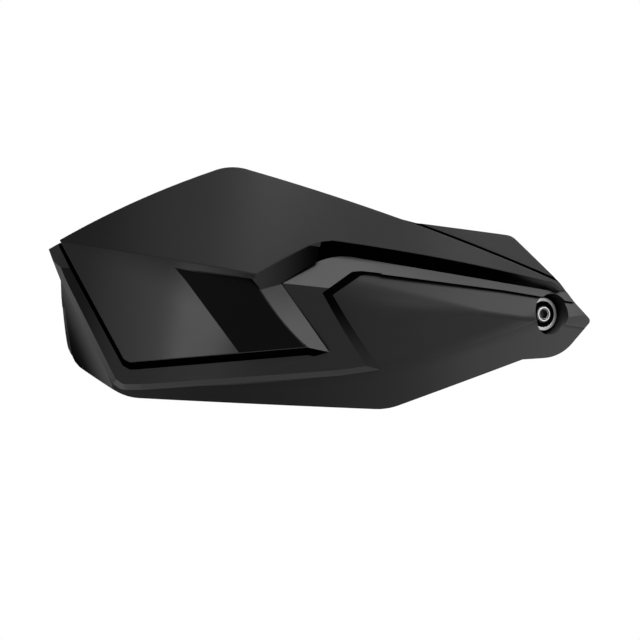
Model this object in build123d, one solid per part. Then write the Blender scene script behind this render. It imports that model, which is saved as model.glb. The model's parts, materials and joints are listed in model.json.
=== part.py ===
from build123d import *
import math
import os

# A motorcycle hand guard for the rider's left grip.
# Millimetres. The origin is on the handlebar axis in the middle of the clamp.
# X runs outboard along the handlebar, Y to the rear, towards the rider, and Z up.

os.makedirs("parts", exist_ok=True)

# Moulded walls
SHIELD_WALL = 3.0
DEFLECTOR_WALL = 2.6
PLATFORM_RAISE = 2.5
RIM_CHAMFER = 3.4
RIM_DROP = 2.4
RIM_PLACE = (20.0, -35.0)
RIM_LOW_Z = -30.0
RIM_LEFT_X = -12.0
RIM_TOP_Z = 30.0
ON_FACE = 0.5
DEFLECTOR_GAP = 0.6
SCOOP_DEPTH = 3.4
GROOVE_WIDTH = 1.6
GROOVE_WIDENING = 2.8
GROOVE_DEPTH = 1.9
WING_GROOVE_WIDTH = 1.8
RIM_ROUND = 7.0
CORNER_ROUND = 4.0
TIP_ROUND = 2.5
TIP_HEEL_ROUND = 24.0
KEEL_ROUND = 35.0
HEEL_ROUND = 30.0
WING_ROUND = 10.0
FIN_RADIUS = 90.0
LIP_DEPTH = 1.0
RIB_WIDTH = 1.8
RIB_HEIGHT = 3.0

# Curved faces of the shield: radius in plan, place of the ridge, and lean of each face
SHIELD_RADIUS = 300.0
SHIELD_APEX_X = 80.0
RIDGE_FRONT = 105.0
RIDGE_HEIGHT = 13.9
RIDGE_ROLL = 5.7
UPPER_LEAN = 18.0
LOWER_LEAN = -10.0
SKIRT_FRONT = 96.6
SKIRT_HEIGHT = -37.0
SKIRT_LEAN = -30.0
SKIRT_ROLL = -3.6
BAND_LEAN = 22.0
BAND_ROLL = 5.5
BAND_FRONT = 108.2
BAND_HEIGHT = 17.5
WING_FRONT = 97.0
WING_HEIGHT = 34.0
WING_LEAN = 12.0
WING_ROLL = 6.0

# Curved faces of the deflector
DEFLECTOR_RADIUS = 290.0
DEFLECTOR_APEX_X = 75.0
CREASE_FRONT = 117.5
CREASE_HEIGHT = 21.0
CREASE_ROLL = 10.3
VISOR_LEAN = 15.0
CHEEK_LEAN = -10.0

# Tip fixing, turned outboard from straight ahead
TIP_X = 230.2
TIP_Y = -44.2
TIP_TURN = 31.0
TIP_RECESS_RADIUS = 12.0
TIP_RECESS_WALL = 2.6
TIP_FLOOR = 2.6
TIP_BOSS_RADIUS = 9.0
TIP_BOSS_LENGTH = 1.5
TIP_HEAD_RADIUS = 4.7
TIP_HEAD_HEIGHT = 4.2
CUP_RADIUS = 10.0
CUP_BORE_RADIUS = 7.7
CUP_HEIGHT = 5.5
CUP_FLOOR = 1.5
CUP_EDGE = 0.5
SEAL_THICKNESS = 0.8
SEAL_CLEARANCE = 0.3

# Aluminium support arm, a flat bar bent in plan
ARM_THICKNESS = 6.0
ARM_WIDTH = 22.0
ARM_END_ROUND = 9.0
ARM_FRONT_BEND = 60.0
ARM_INNER_BEND = 22.0
ARM_TIP_BEND = 8.0
ARM_STRAIGHT_Y = -84.0
ARM_PLATE_X = 238.0
ARM_PLATE_REAR = 14.0
ARM_INNER_X = 30.0
ARM_LUG_Y = -50.0

# Shield bolts
SHIELD_BOLT_X = (54.0, 80.0)
SHIELD_BOSS_RADIUS = 8.0
SPOT_FACE_RADIUS = 7.5
SHIELD_BOSS_LENGTH = 16.2

# Deflector screws: X and Z of each
SCREW_PLACES = ((-16.0, 18.0), (34.0, -6.0), (112.0, 49.0), (184.0, 35.0))
PAD_RADIUS = 6.0
PAD_HEIGHT = 2.4
PAD_DEPTH = 5.5
POST_RADIUS = 4.2
SCREW_RADIUS = 2.0
SCREW_BITE = 5.0
SCREW_HEAD_RADIUS = 3.8
SCREW_HEAD_HEIGHT = 2.4
SCREW_HEX = 1.3
SCREW_WASHER_RADIUS = 5.0
SCREW_WASHER_THICKNESS = 0.8

# Fasteners
M6_RADIUS = 3.0
M8_RADIUS = 4.0
HOLE_CLEARANCE = 0.3
SOCKET_SHARE = 0.6
HEAD_EDGE_SHARE = 0.14
SHANK_EDGE_SHARE = 0.2
COLLAR_SHARE = 0.28
COLLAR_WIDTH_SHARE = 0.93
M6_CAP_RADIUS = 5.0
M6_CAP_HEIGHT = 6.0
M6_BUTTON_RADIUS = 5.25
M6_BUTTON_HEIGHT = 3.3
M6_HEX = 2.5
M6_BUTTON_HEX = 2.0
M6_NUT = 5.0
M6_NUT_HEIGHT = 6.0
M6_WASHER_RADIUS = 6.0
M6_WASHER_THICKNESS = 1.6
M8_BUTTON_RADIUS = 7.0
M8_BUTTON_HEIGHT = 4.4
M8_HEX = 2.5
M8_NUT = 6.5
M8_NUT_HEIGHT = 8.0
M8_WASHER_RADIUS = 8.0
M8_WASHER_THICKNESS = 1.6
THREAD_END = 1.5

# Handlebar clamp
BAR_RADIUS = 11.1
CLAMP_LENGTH = 26.0
CLAMP_RADIUS = 16.5
CLAMP_SPLIT = 1.5
CLAMP_EAR_HALF = 26.5
CLAMP_EAR_ROUND = 2.4
CLAMP_CAP_EAR = 8.0
CLAMP_BODY_EAR = 12.0
CLAMP_BOLT_Z = 20.5
PIVOT_Y = -30.0
LUG_RADIUS = 12.5

# Bar-end expander
BAR_BORE_RADIUS = 8.4
SLEEVE_CLEARANCE = 0.2
SLEEVE_LENGTH = 24.0
SLEEVE_WALL = 2.6
SLEEVE_SLOT = 2.0
SLEEVE_SLOT_LENGTH = 16.0
CONE_LENGTH = 14.0
CONE_REACH = 6.0
CONE_BIG_RADIUS = 7.8
CONE_SMALL_RADIUS = 5.9
SPACER_RADIUS = 12.0
SPACER_LENGTH = 10.0

# Length of the blocks that the moulded shapes are cut from
REACH = 600.0
FRONT_Y = -150.0
REAR_Y = -8.0
SHIELD_REAR_Y = -31.0

# Front-view outlines, X and Z. A step of four numbers is an arc through its first point.
TIP_POINT = (262.0, -3.9)
TIP_HEEL = (243.7, -25.1)
KEEL_POINT = (141.5, -55.0)
HEEL_POINT = (-8.3, -48.0)
WING_POINT = (214.1, 45.5)
SHIELD_OUTLINE = (
    TIP_POINT, (251.7, 6.8), (242.2, 19.1), WING_POINT, (158.0, 52.3),
    (118.0, 60.5, 60.0, 64.0), (0.0, 56.0, -47.2, 41.0), (-53.7, 37.4), (-46.5, 19.1),
    (-46.6, 10.2), (-45.1, -22.8), (-42.0, -24.5), (-40.4, -27.8), (-37.2, -30.9),
    HEEL_POINT, KEEL_POINT, (220.5, -26.4), TIP_HEEL,
)
LIP_REGION = ((-44.9, 4.0), (-42.0, -24.5), (-42.0, -60.0), (-90.0, -60.0), (-90.0, 4.0))
SLOT_LINE = (
    (80.8, 17.5), (98.3, 28.1), (110.8, 32.3, 126.2, 31.5), (209.0, 17.9), (233.5, 14.0), (243.8, 13.0),
)
RIM_LINE = (
    (137.4, -31.9), (114.3, -35.2), (1.1, -43.5), (-11.0, -43.6), (-16.6, -39.6),
    (-46.2, 19.0), (-53.7, 37.4),
)
PANEL_LINE = (
    (251.7, 6.8), (229.6, 10.4), (208.9, 13.7), (133.3, 23.2), (126.2, 22.4), (110.1, 10.8),
)
PANEL_CORNER = (104.2, 11.9)
PANEL_FOOT = (129.1, -29.1)
PANEL_VERTEX = (110.1, 10.8)
PANEL_TOP = (121.0, 24.0)
PANEL_WALLS = ((95.0, -45.0), (138.0, -45.0), (138.0, 23.2), (126.2, 24.5), PANEL_TOP, (95.0, 5.3))
WING_LINE = ((-120.0, 44.0), (80.0, 8.0), (104.0, 16.0), (122.0, 22.0), (209.0, 9.0), (243.0, 2.0))
CHEVRON_FOOT = (96.1, -19.0)
CHEVRON_END = (108.0, -21.6)
DEFLECTOR_OUTLINE = (
    (-46.0, 42.3), (15.8, 71.7, 41.5, 81.2), (52.2, 83.5, 63.0, 81.8), (155.3, 51.9, 241.5, 18.6),
    (244.1, 13.6), (238.0, 18.0), (149.5, 35.6, 109.5, 41.5), (103.5, 40.9), (101.0, 29.8),
    (80.8, 17.3), CHEVRON_END, CHEVRON_FOOT, (-5.3, -27.6), (-9.0, -25.6),
)
GROOVE_LIMIT = (
    (-46.0, 42.0), (-9.0, -20.0), (96.0, -15.0), CHEVRON_END, (90.0, -27.0),
    (90.0, -60.0), (-90.0, -60.0), (-90.0, 42.0),
)
WING_GROOVE_LIMIT = ((150.0, 45.0), (241.5, 18.6), (262.0, 18.0), (262.0, 90.0), (150.0, 90.0))
CHEVRON_VERTEX = (64.9, 21.0)
CHEVRON_CORNER = (80.8, 17.3)
CHEVRON_TOP = (92.5, 36.7)
ARCH_START = (94.7, 38.2)
ARCH_END = (103.5, 40.9)
ARCH_FOOT = (98.3, 28.6)
SCOOP_TOP = (22.0, 25.6)
SCOOP_FOOT = (55.9, -20.4)
SCOOP_REGION = (SCOOP_TOP, (64.2, 20.2), (130.0, -60.0), (85.1, -60.0))
CHEVRON_WALLS = ((40.0, -60.0), (130.0, -60.0), (130.0, 20.0), (103.5, 29.0), (103.5, 45.0), (40.0, 45.0))
RIB_LINES = (
    ((-28.0, 8.0), (-13.0, -36.0)), ((0.0, 10.0), (14.0, -42.0)), ((28.0, -14.0), (40.0, -46.0)),
    ((104.0, 4.0), (120.0, -46.0)), ((134.0, 2.0), (148.0, -46.0)), ((165.0, -12.0), (176.0, -38.0)),
    ((194.0, -13.0), (201.0, -29.0)),
)


class Facet:
    """A curved outer face and everything behind it."""

    def __init__(self, x, y, z, lean, roll, radius):
        """Take a point on the face, its lean back, its roll and its radius in plan."""
        lean = math.radians(lean)
        roll = math.radians(roll)
        self.radius = radius
        self.axis = Vector(
            math.sin(roll) * math.cos(lean), math.sin(lean), math.cos(roll) * math.cos(lean)
        )
        self.inward = Vector(
            -math.sin(roll) * math.sin(lean), math.cos(lean), -math.cos(roll) * math.sin(lean)
        )
        self.centre = Vector(x, y, z) + self.inward * radius

    def solid(self, offset=0.0):
        """Everything behind the face after it moves forward by an offset."""
        place = Plane(origin=self.centre, x_dir=self.inward, z_dir=self.axis)
        return place * Cylinder(self.radius + offset, REACH)

    def y_at(self, x, z, offset=0.0):
        """Y of the face straight ahead of a front-view point."""
        start = Vector(x, 0, z) - self.centre
        ahead = Vector(0, 1, 0)
        start = start - self.axis * start.dot(self.axis)
        ahead = ahead - self.axis * ahead.dot(self.axis)
        a = ahead.dot(ahead)
        b = 2 * start.dot(ahead)
        c = start.dot(start) - (self.radius + offset) ** 2
        return (-b - math.sqrt(b * b - 4 * a * c)) / (2 * a)


def half_space(a, b, c, toward, offset=0.0):
    """One side of the plane through three points, the side of a fourth, moved on by an offset."""
    a, b, c, toward = Vector(a), Vector(b), Vector(c), Vector(toward)
    normal = (b - a).cross(c - a).normalized()
    if normal.dot(toward - a) < 0:
        normal = normal * -1
    place = Plane(origin=a - normal * offset, z_dir=normal)
    return place * Box(REACH, REACH, REACH, align=(Align.CENTER, Align.CENTER, Align.MIN))


def region(steps):
    """Closed front-view region; a step of four numbers is an arc through its first point."""
    here = steps[0][-2:]
    edges = []
    for step in steps[1:] + steps[:1]:
        end = step[-2:]
        if len(step) == 2:
            edges.append(Line(here, end))
        else:
            edges.append(ThreePointArc(here, step[:2], end))
        here = end
    return make_face(edges)


def prism(face, front=FRONT_Y, rear=REAR_Y):
    """A front-view region carried straight through from front to rear."""
    place = Plane(origin=(0, rear, 0), x_dir=(1, 0, 0), z_dir=(0, -1, 0))
    return extrude(place * face, amount=rear - front)


def soften(face, point, radius):
    """Round the corner of a region nearest to a point."""
    corner = face.vertices().sort_by_distance((point[0], point[1], 0))[0]
    return fillet(corner, radius)


def rod(start, direction, radius, length):
    """A solid cylinder from a point along a direction."""
    place = Plane(origin=start, z_dir=direction)
    return place * Cylinder(radius, length, align=(Align.CENTER, Align.CENTER, Align.MIN))


def tube(start, direction, radius, bore, length):
    """A cylinder with a hole through it."""
    return rod(start, direction, radius, length) - rod(start, direction, bore, length)


def hex_bar(start, direction, half_flats, length):
    """A hexagonal prism given half its width across flats."""
    place = Plane(origin=start, z_dir=direction)
    corner = half_flats / math.cos(math.radians(30))
    return extrude(place * RegularPolygon(corner, 6), amount=length)


def cap_screw(seat, direction, radius, length, head_radius, head_height, half_flats):
    """A screw with its head on a seat, its shank along a direction, and a hexagon socket."""
    seat = Vector(seat)
    direction = Vector(direction).normalized()
    head = rod(seat - direction * head_height, direction, head_radius, head_height)
    top_rim = head.faces().sort_by(Axis(seat, direction))[0].edges()
    head = chamfer(top_rim, head_height * HEAD_EDGE_SHARE)
    shank = rod(seat, direction, radius, length)
    end_rim = shank.faces().sort_by(Axis(seat, direction))[-1].edges()
    shank = chamfer(end_rim, radius * SHANK_EDGE_SHARE)
    socket = hex_bar(seat - direction * head_height, direction, half_flats, SOCKET_SHARE * head_height)
    return head + shank - socket


def button_screw(seat, direction, radius, length, head_radius, head_height, half_flats):
    """A screw with a domed head on a seat."""
    seat = Vector(seat)
    direction = Vector(direction).normalized()
    ball = (head_radius ** 2 + head_height ** 2) / (2 * head_height)
    dome = Plane(origin=seat - direction * (head_height - ball), z_dir=direction) * Sphere(ball)
    head = dome & rod(seat - direction * head_height, direction, head_radius, head_height)
    shank = rod(seat, direction, radius, length)
    end_rim = shank.faces().sort_by(Axis(seat, direction))[-1].edges()
    shank = chamfer(end_rim, radius * SHANK_EDGE_SHARE)
    socket = hex_bar(seat - direction * head_height, direction, half_flats, SOCKET_SHARE * head_height)
    return head + shank - socket


def lock_nut(seat, direction, half_flats, height, bore):
    """A hexagonal lock nut with a plain collar at its far end."""
    seat = Vector(seat)
    direction = Vector(direction).normalized()
    collar = COLLAR_SHARE * height
    nut = hex_bar(seat, direction, half_flats, height - collar)
    nut = nut + rod(seat, direction, half_flats * COLLAR_WIDTH_SHARE, height)
    return nut - rod(seat, direction, bore, height)


# Faces of the shield
spear_top = Facet(SHIELD_APEX_X, -RIDGE_FRONT, RIDGE_HEIGHT, UPPER_LEAN, RIDGE_ROLL, SHIELD_RADIUS)
spear_low = Facet(SHIELD_APEX_X, -RIDGE_FRONT, RIDGE_HEIGHT, LOWER_LEAN, RIDGE_ROLL, SHIELD_RADIUS)
skirt = Facet(SHIELD_APEX_X, -SKIRT_FRONT, SKIRT_HEIGHT, SKIRT_LEAN, SKIRT_ROLL, SHIELD_RADIUS)
band = Facet(SHIELD_APEX_X, -BAND_FRONT, BAND_HEIGHT, BAND_LEAN, BAND_ROLL, SHIELD_RADIUS)
wing = Facet(SHIELD_APEX_X, -WING_FRONT, WING_HEIGHT, WING_LEAN, WING_ROLL, SHIELD_RADIUS)

# Faces of the deflector
visor = Facet(
    DEFLECTOR_APEX_X, -CREASE_FRONT, CREASE_HEIGHT, VISOR_LEAN, CREASE_ROLL, DEFLECTOR_RADIUS
)
cheek = Facet(
    DEFLECTOR_APEX_X, -CREASE_FRONT, CREASE_HEIGHT, CHEEK_LEAN, CREASE_ROLL, DEFLECTOR_RADIUS
)

# Rounded end fin of the shield, through two points of the rim and one far back on its edge
FIN_RIM = (Vector(-50.0, -75.5, 31.0), Vector(-16.6, -80.0, -39.6))
FIN_REAR = Vector(-45.1, -31.0, -22.8)


def fin_solid(offset=0.0):
    """Everything inside the fin after it moves outward by an offset."""
    along = (FIN_RIM[1] - FIN_RIM[0]).normalized()
    chord = FIN_REAR - FIN_RIM[0]
    chord = chord - along * chord.dot(along)
    inward = along.cross(chord).normalized()
    height = math.sqrt(FIN_RADIUS ** 2 - (chord.length / 2) ** 2)
    centre = FIN_RIM[0] + chord * 0.5 + inward * height
    place = Plane(origin=centre, x_dir=inward, z_dir=along)
    behind = Box(REACH, REACH, REACH, align=(Align.MIN, Align.CENTER, Align.CENTER))
    return place * (Cylinder(FIN_RADIUS + offset, REACH) + behind)


def on(face, x, z, offset=0.0):
    """The point of a face straight ahead of a front-view point."""
    return (x, face.y_at(x, z, offset), z)


# Steps of the sunk panel in the spear, each wall through three points
panel_corner = on(spear_low, *PANEL_CORNER, PLATFORM_RAISE)
PANEL_LOW_WALL = (
    panel_corner, on(spear_low, *PANEL_FOOT, PLATFORM_RAISE), on(spear_low, *PANEL_VERTEX),
)
PANEL_TOP_WALL = (panel_corner, on(band, *PANEL_TOP), on(spear_top, *PANEL_VERTEX))
PANEL_SIDE = (160.0, -120.0, 0.0)

spear_region = region(SLOT_LINE + ((300.0, 9.0), (300.0, -120.0), (-120.0, -120.0), (-120.0, 46.0)))
wing_region = region(WING_LINE + ((300.0, -6.0), (300.0, 120.0), (-120.0, 120.0)))
platform_region = region(SLOT_LINE + PANEL_LINE + RIM_LINE + ((-47.2, 41.0),))
platform_region = soften(platform_region, RIM_LINE[3], RIM_ROUND)
platform_region = soften(platform_region, RIM_LINE[4], RIM_ROUND)
panel_walls = prism(region(PANEL_WALLS))


def platform_block(inset):
    """The raised platform round the panel, drawn in by an inset."""
    block = spear_low.solid(PLATFORM_RAISE - inset) & band.solid(-inset)
    outline = platform_region if inset == 0 else offset(platform_region, -inset)
    block = block & prism(outline)
    low_wall = half_space(*PANEL_LOW_WALL, PANEL_SIDE, inset)
    top_wall = half_space(*PANEL_TOP_WALL, PANEL_SIDE, inset)
    return block - (low_wall & top_wall & panel_walls)


def rim_edges(block):
    """Front edges of the platform along its lower and left sides."""
    found = []
    for edge in block.edges():
        point = edge.position_at(0.5)
        front = spear_low.y_at(point.X, point.Z, PLATFORM_RAISE)
        outer = point.Z < RIM_LOW_Z or point.X < RIM_LEFT_X
        if outer and abs(point.Y - front) < ON_FACE and point.Z < RIM_TOP_Z:
            found.append(edge)
    return found


def shield_block(inset):
    """The whole shield as a solid block, drawn in by an inset."""
    spear = spear_top.solid(-inset) & spear_low.solid(-inset) & skirt.solid(-inset)
    spear = spear & fin_solid(-inset)
    outline = spear_region if inset == 0 else offset(spear_region, -inset)
    spear = spear & prism(outline)
    upper = wing.solid(-inset) & prism(wing_region)
    platform = platform_block(inset)
    if inset == 0:
        front = platform.faces().sort_by_distance(on(spear_low, *RIM_PLACE, PLATFORM_RAISE))[0]
        platform = chamfer(rim_edges(platform), RIM_CHAMFER, RIM_DROP, reference=front)
    return spear + platform + upper


shield_corners = (
    (TIP_POINT, TIP_ROUND), (TIP_HEEL, TIP_HEEL_ROUND), (KEEL_POINT, KEEL_ROUND),
    (HEEL_POINT, HEEL_ROUND), (WING_POINT, WING_ROUND),
)
shield_front = region(SHIELD_OUTLINE)
for corner, radius in shield_corners:
    shield_front = soften(shield_front, corner, radius)
shield_outline = prism(shield_front, rear=SHIELD_REAR_Y)
shield_solid = shield_block(0.0) & shield_outline
shield_hollow = shield_block(SHIELD_WALL)
shield = shield_solid - shield_hollow

# Stiffening ribs on the back of the shield
rib_layer = (shield_hollow & shield_outline) - shield_block(SHIELD_WALL + RIB_HEIGHT)
for start, end in RIB_LINES:
    run = Vector(*end) - Vector(*start)
    side = Vector(-run.Y, run.X).normalized() * (RIB_WIDTH / 2)
    corners = (Vector(*start) + side, Vector(*start) - side, Vector(*end) - side, Vector(*end) + side)
    rib = prism(region(tuple((corner.X, corner.Y) for corner in corners)))
    shield = shield + (rib_layer & rib)

# Steps of the deflector: the scoop turned into its cheek, and the two walls of the chevron
scoop_top = Vector(*on(cheek, *SCOOP_TOP))
scoop_edge = Axis(scoop_top, Vector(*on(cheek, *SCOOP_FOOT)) - scoop_top)


def scoop_reach(x, z):
    """How far a front-view point of the cheek lies from the scoop's edge."""
    return (Vector(*on(cheek, x, z)) - scoop_top).cross(scoop_edge.direction).length


scoop_slope = SCOOP_DEPTH / scoop_reach(*CHEVRON_VERTEX)


def scoop_floor(x, z):
    """The point of the scoop's floor straight ahead of a front-view point."""
    return on(cheek, x, z, -scoop_slope * scoop_reach(x, z))


LOWER_CHEVRON = (
    scoop_floor(*CHEVRON_VERTEX), scoop_floor(*CHEVRON_FOOT),
    on(spear_low, *CHEVRON_CORNER, PLATFORM_RAISE + DEFLECTOR_GAP),
)
UPPER_CHEVRON = (
    on(visor, *CHEVRON_VERTEX), on(visor, *CHEVRON_TOP), on(band, *CHEVRON_CORNER, DEFLECTOR_GAP),
)
ARCH_WALL = (on(visor, *ARCH_START), on(visor, *ARCH_END), on(band, *ARCH_FOOT, DEFLECTOR_GAP))
CHEVRON_SIDE = (160.0, -130.0, 10.0)
chevron_walls = prism(region(CHEVRON_WALLS))


def deflector_block(inset):
    """The deflector as a solid block, drawn in by an inset."""
    block = visor.solid(-inset) & cheek.solid(-inset)
    lower = half_space(*LOWER_CHEVRON, CHEVRON_SIDE, inset)
    upper = half_space(*UPPER_CHEVRON, CHEVRON_SIDE, inset)
    upper = upper & half_space(*ARCH_WALL, CHEVRON_SIDE, inset)
    pocket = region(SCOOP_REGION)
    pocket = pocket if inset == 0 else offset(pocket, inset)
    floor = cheek.solid(-inset).rotate(scoop_edge, -math.degrees(math.atan(scoop_slope)))
    scoop = prism(pocket) - floor
    return block - (lower & upper & chevron_walls) - scoop


deflector_outline = region(DEFLECTOR_OUTLINE)
deflector_outline = soften(deflector_outline, (-5.3, -27.6), CORNER_ROUND)
deflector = (deflector_block(0.0) - deflector_block(DEFLECTOR_WALL)) & prism(deflector_outline)
deflector = deflector - (
    spear_low.solid(PLATFORM_RAISE + DEFLECTOR_GAP) & band.solid(DEFLECTOR_GAP)
)

# Grooves in the shield along the edges of the deflector, widened below it
groove_outline = offset(deflector_outline, GROOVE_WIDTH)
groove_outline = groove_outline + Pos(0, -GROOVE_WIDENING) * groove_outline
groove = prism((groove_outline - deflector_outline) & region(GROOVE_LIMIT))
groove_floor = spear_low.solid(PLATFORM_RAISE - GROOVE_DEPTH) & band.solid(-GROOVE_DEPTH)
shield = shield - (groove - groove_floor)
wing_outline = offset(deflector_outline, WING_GROOVE_WIDTH) - deflector_outline
shield = shield - (prism(wing_outline & region(WING_GROOVE_LIMIT)) - wing.solid(-GROOVE_DEPTH))

# Lip along the rear edge of the fin
lip = prism(region(LIP_REGION)) - fin_solid(-LIP_DEPTH)
shield = shield - lip

# Clearance holes
screw_hole = SCREW_RADIUS + HOLE_CLEARANCE
m6_hole = M6_RADIUS + HOLE_CLEARANCE
m8_hole = M8_RADIUS + HOLE_CLEARANCE

# Tip fixing: a sunk cup in the spear with a boss that stands on the arm
turn = math.radians(TIP_TURN)
tip_out = Vector(math.sin(turn), -math.cos(turn), 0)
tip_along = Vector(math.cos(turn), math.sin(turn), 0)
tip_seat = Vector(TIP_X, TIP_Y, 0)
tip_boss_end = tip_seat - tip_out * (TIP_FLOOR + TIP_BOSS_LENGTH)
cup = rod(tip_seat - tip_out * TIP_FLOOR, tip_out, TIP_RECESS_RADIUS + TIP_RECESS_WALL, REACH)
shield = shield + (cup & shield_solid)
shield = shield + rod(tip_boss_end, tip_out, TIP_BOSS_RADIUS, TIP_BOSS_LENGTH + TIP_FLOOR)
shield = shield - rod(tip_seat, tip_out, TIP_RECESS_RADIUS, REACH)
shield = shield - rod(tip_boss_end, tip_out, m6_hole, REACH)

# Bosses of the two shield bolts, standing on the front of the arm
ahead = Vector(0, -1, 0)
arm_front_y = ARM_STRAIGHT_Y - ARM_THICKNESS / 2
arm_rear_y = ARM_STRAIGHT_Y + ARM_THICKNESS / 2
spot_face_y = arm_front_y - SHIELD_BOSS_LENGTH
for x in SHIELD_BOLT_X:
    shield = shield + (rod((x, arm_front_y, 0), ahead, SHIELD_BOSS_RADIUS, REACH) & shield_solid)
    shield = shield - rod((x, spot_face_y, 0), ahead, SPOT_FACE_RADIUS, REACH)
    shield = shield - rod((x, arm_front_y, 0), ahead, m6_hole, REACH)

# Posts of the deflector on flat pads of the shield, each with a screw from behind
deflector_screws = []
deflector_washers = []
deflector_limit = deflector_block(DEFLECTOR_WALL / 2)
for x, z in SCREW_PLACES:
    base_y = max(spear_low.y_at(x, z, PLATFORM_RAISE), band.y_at(x, z)) if x < 80 else wing.y_at(x, z)
    pad_front = base_y - PAD_HEIGHT
    pad_rear = base_y + PAD_DEPTH
    pad_length = PAD_HEIGHT + PAD_DEPTH
    shield = shield + rod((x, pad_rear, z), ahead, PAD_RADIUS, pad_length)
    shield = shield - rod((x, pad_rear, z), ahead, screw_hole, pad_length)
    deflector = deflector + (rod((x, pad_front, z), ahead, POST_RADIUS, REACH) & deflector_limit)
    deflector = deflector - rod((x, pad_front, z), ahead, SCREW_RADIUS, SCREW_BITE)
    seat_y = pad_rear + SCREW_WASHER_THICKNESS
    deflector_washers.append(
        tube((x, seat_y, z), ahead, SCREW_WASHER_RADIUS, screw_hole, SCREW_WASHER_THICKNESS)
    )
    deflector_screws.append(
        cap_screw(
            (x, seat_y, z), ahead, SCREW_RADIUS, SCREW_WASHER_THICKNESS + pad_length + SCREW_BITE,
            SCREW_HEAD_RADIUS, SCREW_HEAD_HEIGHT, SCREW_HEX,
        )
    )

# Tip bolt with its cup washer, seal washer and nut
cup_washer = rod(tip_seat, tip_out, CUP_RADIUS, CUP_HEIGHT)
cup_washer = chamfer(cup_washer.faces().sort_by(Axis(tip_seat, tip_out))[-1].edges(), CUP_EDGE)
cup_washer = cup_washer - rod(tip_seat + tip_out * CUP_FLOOR, tip_out, CUP_BORE_RADIUS, CUP_HEIGHT)
cup_washer = cup_washer - rod(tip_seat, tip_out, m6_hole, CUP_HEIGHT)
tip_seal = tube(
    tip_seat + tip_out * CUP_FLOOR, tip_out, CUP_BORE_RADIUS - SEAL_CLEARANCE, m6_hole, SEAL_THICKNESS
)
tip_stack = CUP_FLOOR + SEAL_THICKNESS + TIP_FLOOR + TIP_BOSS_LENGTH + ARM_THICKNESS
tip_bolt = cap_screw(
    tip_seat + tip_out * (CUP_FLOOR + SEAL_THICKNESS), tip_out * -1, M6_RADIUS,
    tip_stack + M6_NUT_HEIGHT + THREAD_END, TIP_HEAD_RADIUS, TIP_HEAD_HEIGHT, M6_HEX,
)
tip_nut = lock_nut(tip_boss_end - tip_out * ARM_THICKNESS, tip_out * -1, M6_NUT, M6_NUT_HEIGHT, M6_RADIUS)

# Support arm, bent round the hand from the clamp lug to the end of the handlebar
clamp_side = CLAMP_LENGTH / 2
pivot_plate_x = clamp_side + ARM_THICKNESS / 2
tip_arm = tip_boss_end - tip_out * (ARM_THICKNESS / 2)
tip_bend = tip_arm + tip_along * ((ARM_PLATE_X - tip_arm.X) / tip_along.X)
front_bend = tip_arm + tip_along * ((ARM_STRAIGHT_Y - tip_arm.Y) / tip_along.Y)
arm_path = FilletPolyline(
    (ARM_PLATE_X, ARM_PLATE_REAR),
    (tip_bend.X, tip_bend.Y),
    (front_bend.X, front_bend.Y),
    (ARM_INNER_X, ARM_STRAIGHT_Y),
    (pivot_plate_x, ARM_LUG_Y),
    (pivot_plate_x, PIVOT_Y + ARM_WIDTH / 2),
    radius=(ARM_TIP_BEND, ARM_FRONT_BEND, ARM_INNER_BEND, ARM_INNER_BEND),
)
arm_section = Plane(origin=arm_path @ 0, x_dir=(0, 0, 1), z_dir=arm_path % 0)
support_arm = sweep(arm_section * Rectangle(ARM_WIDTH, ARM_THICKNESS), path=arm_path)
end_corners = []
for edge in support_arm.edges().filter_by(Axis.X):
    if abs(edge.length - ARM_THICKNESS) < 0.01 and edge.center().Y > PIVOT_Y:
        end_corners.append(edge)
support_arm = fillet(end_corners, ARM_END_ROUND)
inboard = Vector(-1, 0, 0)
through = 2 * ARM_THICKNESS
support_arm = support_arm - rod((ARM_PLATE_X + ARM_THICKNESS, 0, 0), inboard, m8_hole, through)
support_arm = support_arm - rod((pivot_plate_x + ARM_THICKNESS, PIVOT_Y, 0), inboard, m8_hole, through)
support_arm = support_arm - rod(tip_arm + tip_out * ARM_THICKNESS, tip_out * -1, m6_hole, through)
for x in SHIELD_BOLT_X:
    support_arm = support_arm - rod((x, ARM_STRAIGHT_Y + ARM_THICKNESS, 0), ahead, m6_hole, through)

# Shield bolts through the arm
shield_bolts = []
shield_washers = []
shield_nuts = []
shield_stack = arm_rear_y - spot_face_y + M6_WASHER_THICKNESS
for x in SHIELD_BOLT_X:
    shield_bolts.append(
        button_screw(
            (x, spot_face_y, 0), (0, 1, 0), M6_RADIUS, shield_stack + M6_NUT_HEIGHT + THREAD_END,
            M6_BUTTON_RADIUS, M6_BUTTON_HEIGHT, M6_BUTTON_HEX,
        )
    )
    shield_washers.append(
        tube((x, arm_rear_y, 0), (0, 1, 0), M6_WASHER_RADIUS, m6_hole, M6_WASHER_THICKNESS)
    )
    shield_nuts.append(
        lock_nut((x, arm_rear_y + M6_WASHER_THICKNESS, 0), (0, 1, 0), M6_NUT, M6_NUT_HEIGHT, M6_RADIUS)
    )

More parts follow.
